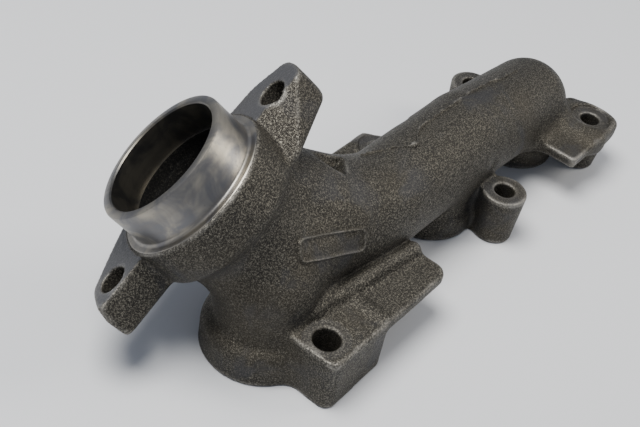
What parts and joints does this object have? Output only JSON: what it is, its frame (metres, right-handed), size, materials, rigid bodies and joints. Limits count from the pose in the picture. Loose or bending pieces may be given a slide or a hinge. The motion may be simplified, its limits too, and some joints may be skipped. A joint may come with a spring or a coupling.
{
  "type": "exhaust manifold",
  "caption": "Cast-iron exhaust manifold: ports on a flat head face feed a round log that ends in a machined outlet spigot with a two-ear flange.",
  "frame": {"origin": "centre of the middle port on the head face", "axes": "+X along the log to its closed rear end, +Y away from the near row of bolt seats, +Z away from the cylinder head"},
  "size_m": [0.2661, 0.106, 0.0971],
  "materials": {
    "cast_iron": "as sand cast, fine grain, dark, edges rubbed brighter",
    "machined_iron": "turned, satin, fine tool marks"
  },
  "bodies": {
    "root": {"outlet_flange": "cast_iron", "outlet_neck": "cast_iron", "collector": "cast_iron", "log_front": "cast_iron", "log_middle": "cast_iron", "log_rear": "cast_iron", "rear_elbow": "cast_iron", "front_runner": "cast_iron", "middle_runner": "cast_iron", "front_port_pad": "cast_iron", "middle_port_pad": "cast_iron", "rear_port_pad": "cast_iron", "front_bolt_block": "cast_iron", "middle_bolt_boss": "cast_iron", "rear_bolt_block": "cast_iron", "far_middle_bolt_boss": "cast_iron", "far_rear_bolt_boss": "cast_iron", "front_wing": "cast_iron", "rear_wing": "cast_iron", "far_wing": "cast_iron", "front_rib": "cast_iron", "parting_flash": "cast_iron", "casting_tag": "cast_iron", "outlet_spigot": "machined_iron", "outlet_land": "machined_iron"}
  },
  "joints": []
}
